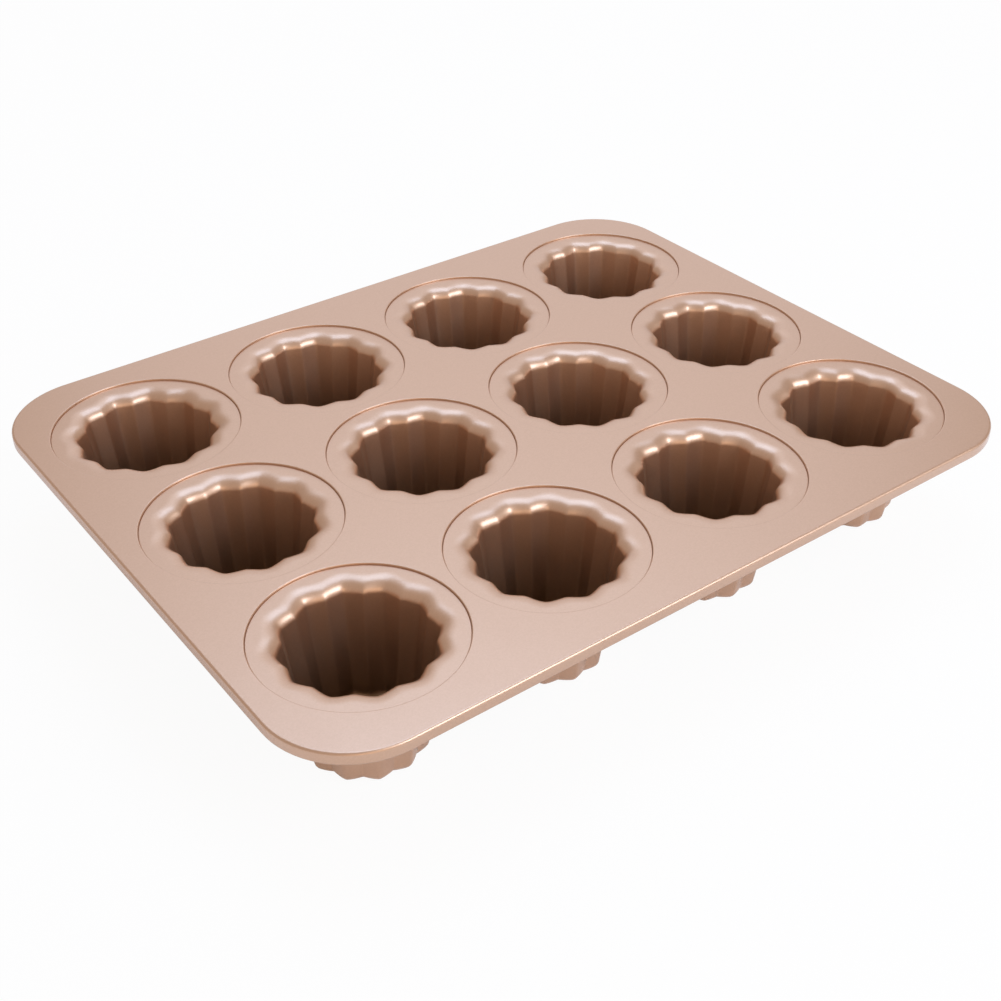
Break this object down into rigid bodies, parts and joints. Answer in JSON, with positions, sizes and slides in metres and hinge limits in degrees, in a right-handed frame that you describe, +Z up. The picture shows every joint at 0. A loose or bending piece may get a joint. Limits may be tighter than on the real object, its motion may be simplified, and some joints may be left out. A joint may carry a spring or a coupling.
{
  "type": "canele mould",
  "caption": "Rounded rectangular sheet-steel baking tray with a grid of deep, tapered, fluted cups crimped into it, for baking canele cakes.",
  "frame": {"origin": "middle of the footprint, on the plane of the undersides of the cups", "axes": "+X along the tray's long side, +Y across it towards the back row, +Z up out of the cups"},
  "size_m": [0.3344, 0.2636, 0.0486],
  "materials": {
    "champagne_coat": "satin"
  },
  "bodies": {
    "root": {"tray": "champagne_coat", "cup_row1_col1": "champagne_coat", "cup_row1_col2": "champagne_coat", "cup_row1_col3": "champagne_coat", "cup_row1_col4": "champagne_coat", "cup_row2_col1": "champagne_coat", "cup_row2_col2": "champagne_coat", "cup_row2_col3": "champagne_coat", "cup_row2_col4": "champagne_coat", "cup_row3_col1": "champagne_coat", "cup_row3_col2": "champagne_coat", "cup_row3_col3": "champagne_coat", "cup_row3_col4": "champagne_coat"}
  },
  "joints": []
}
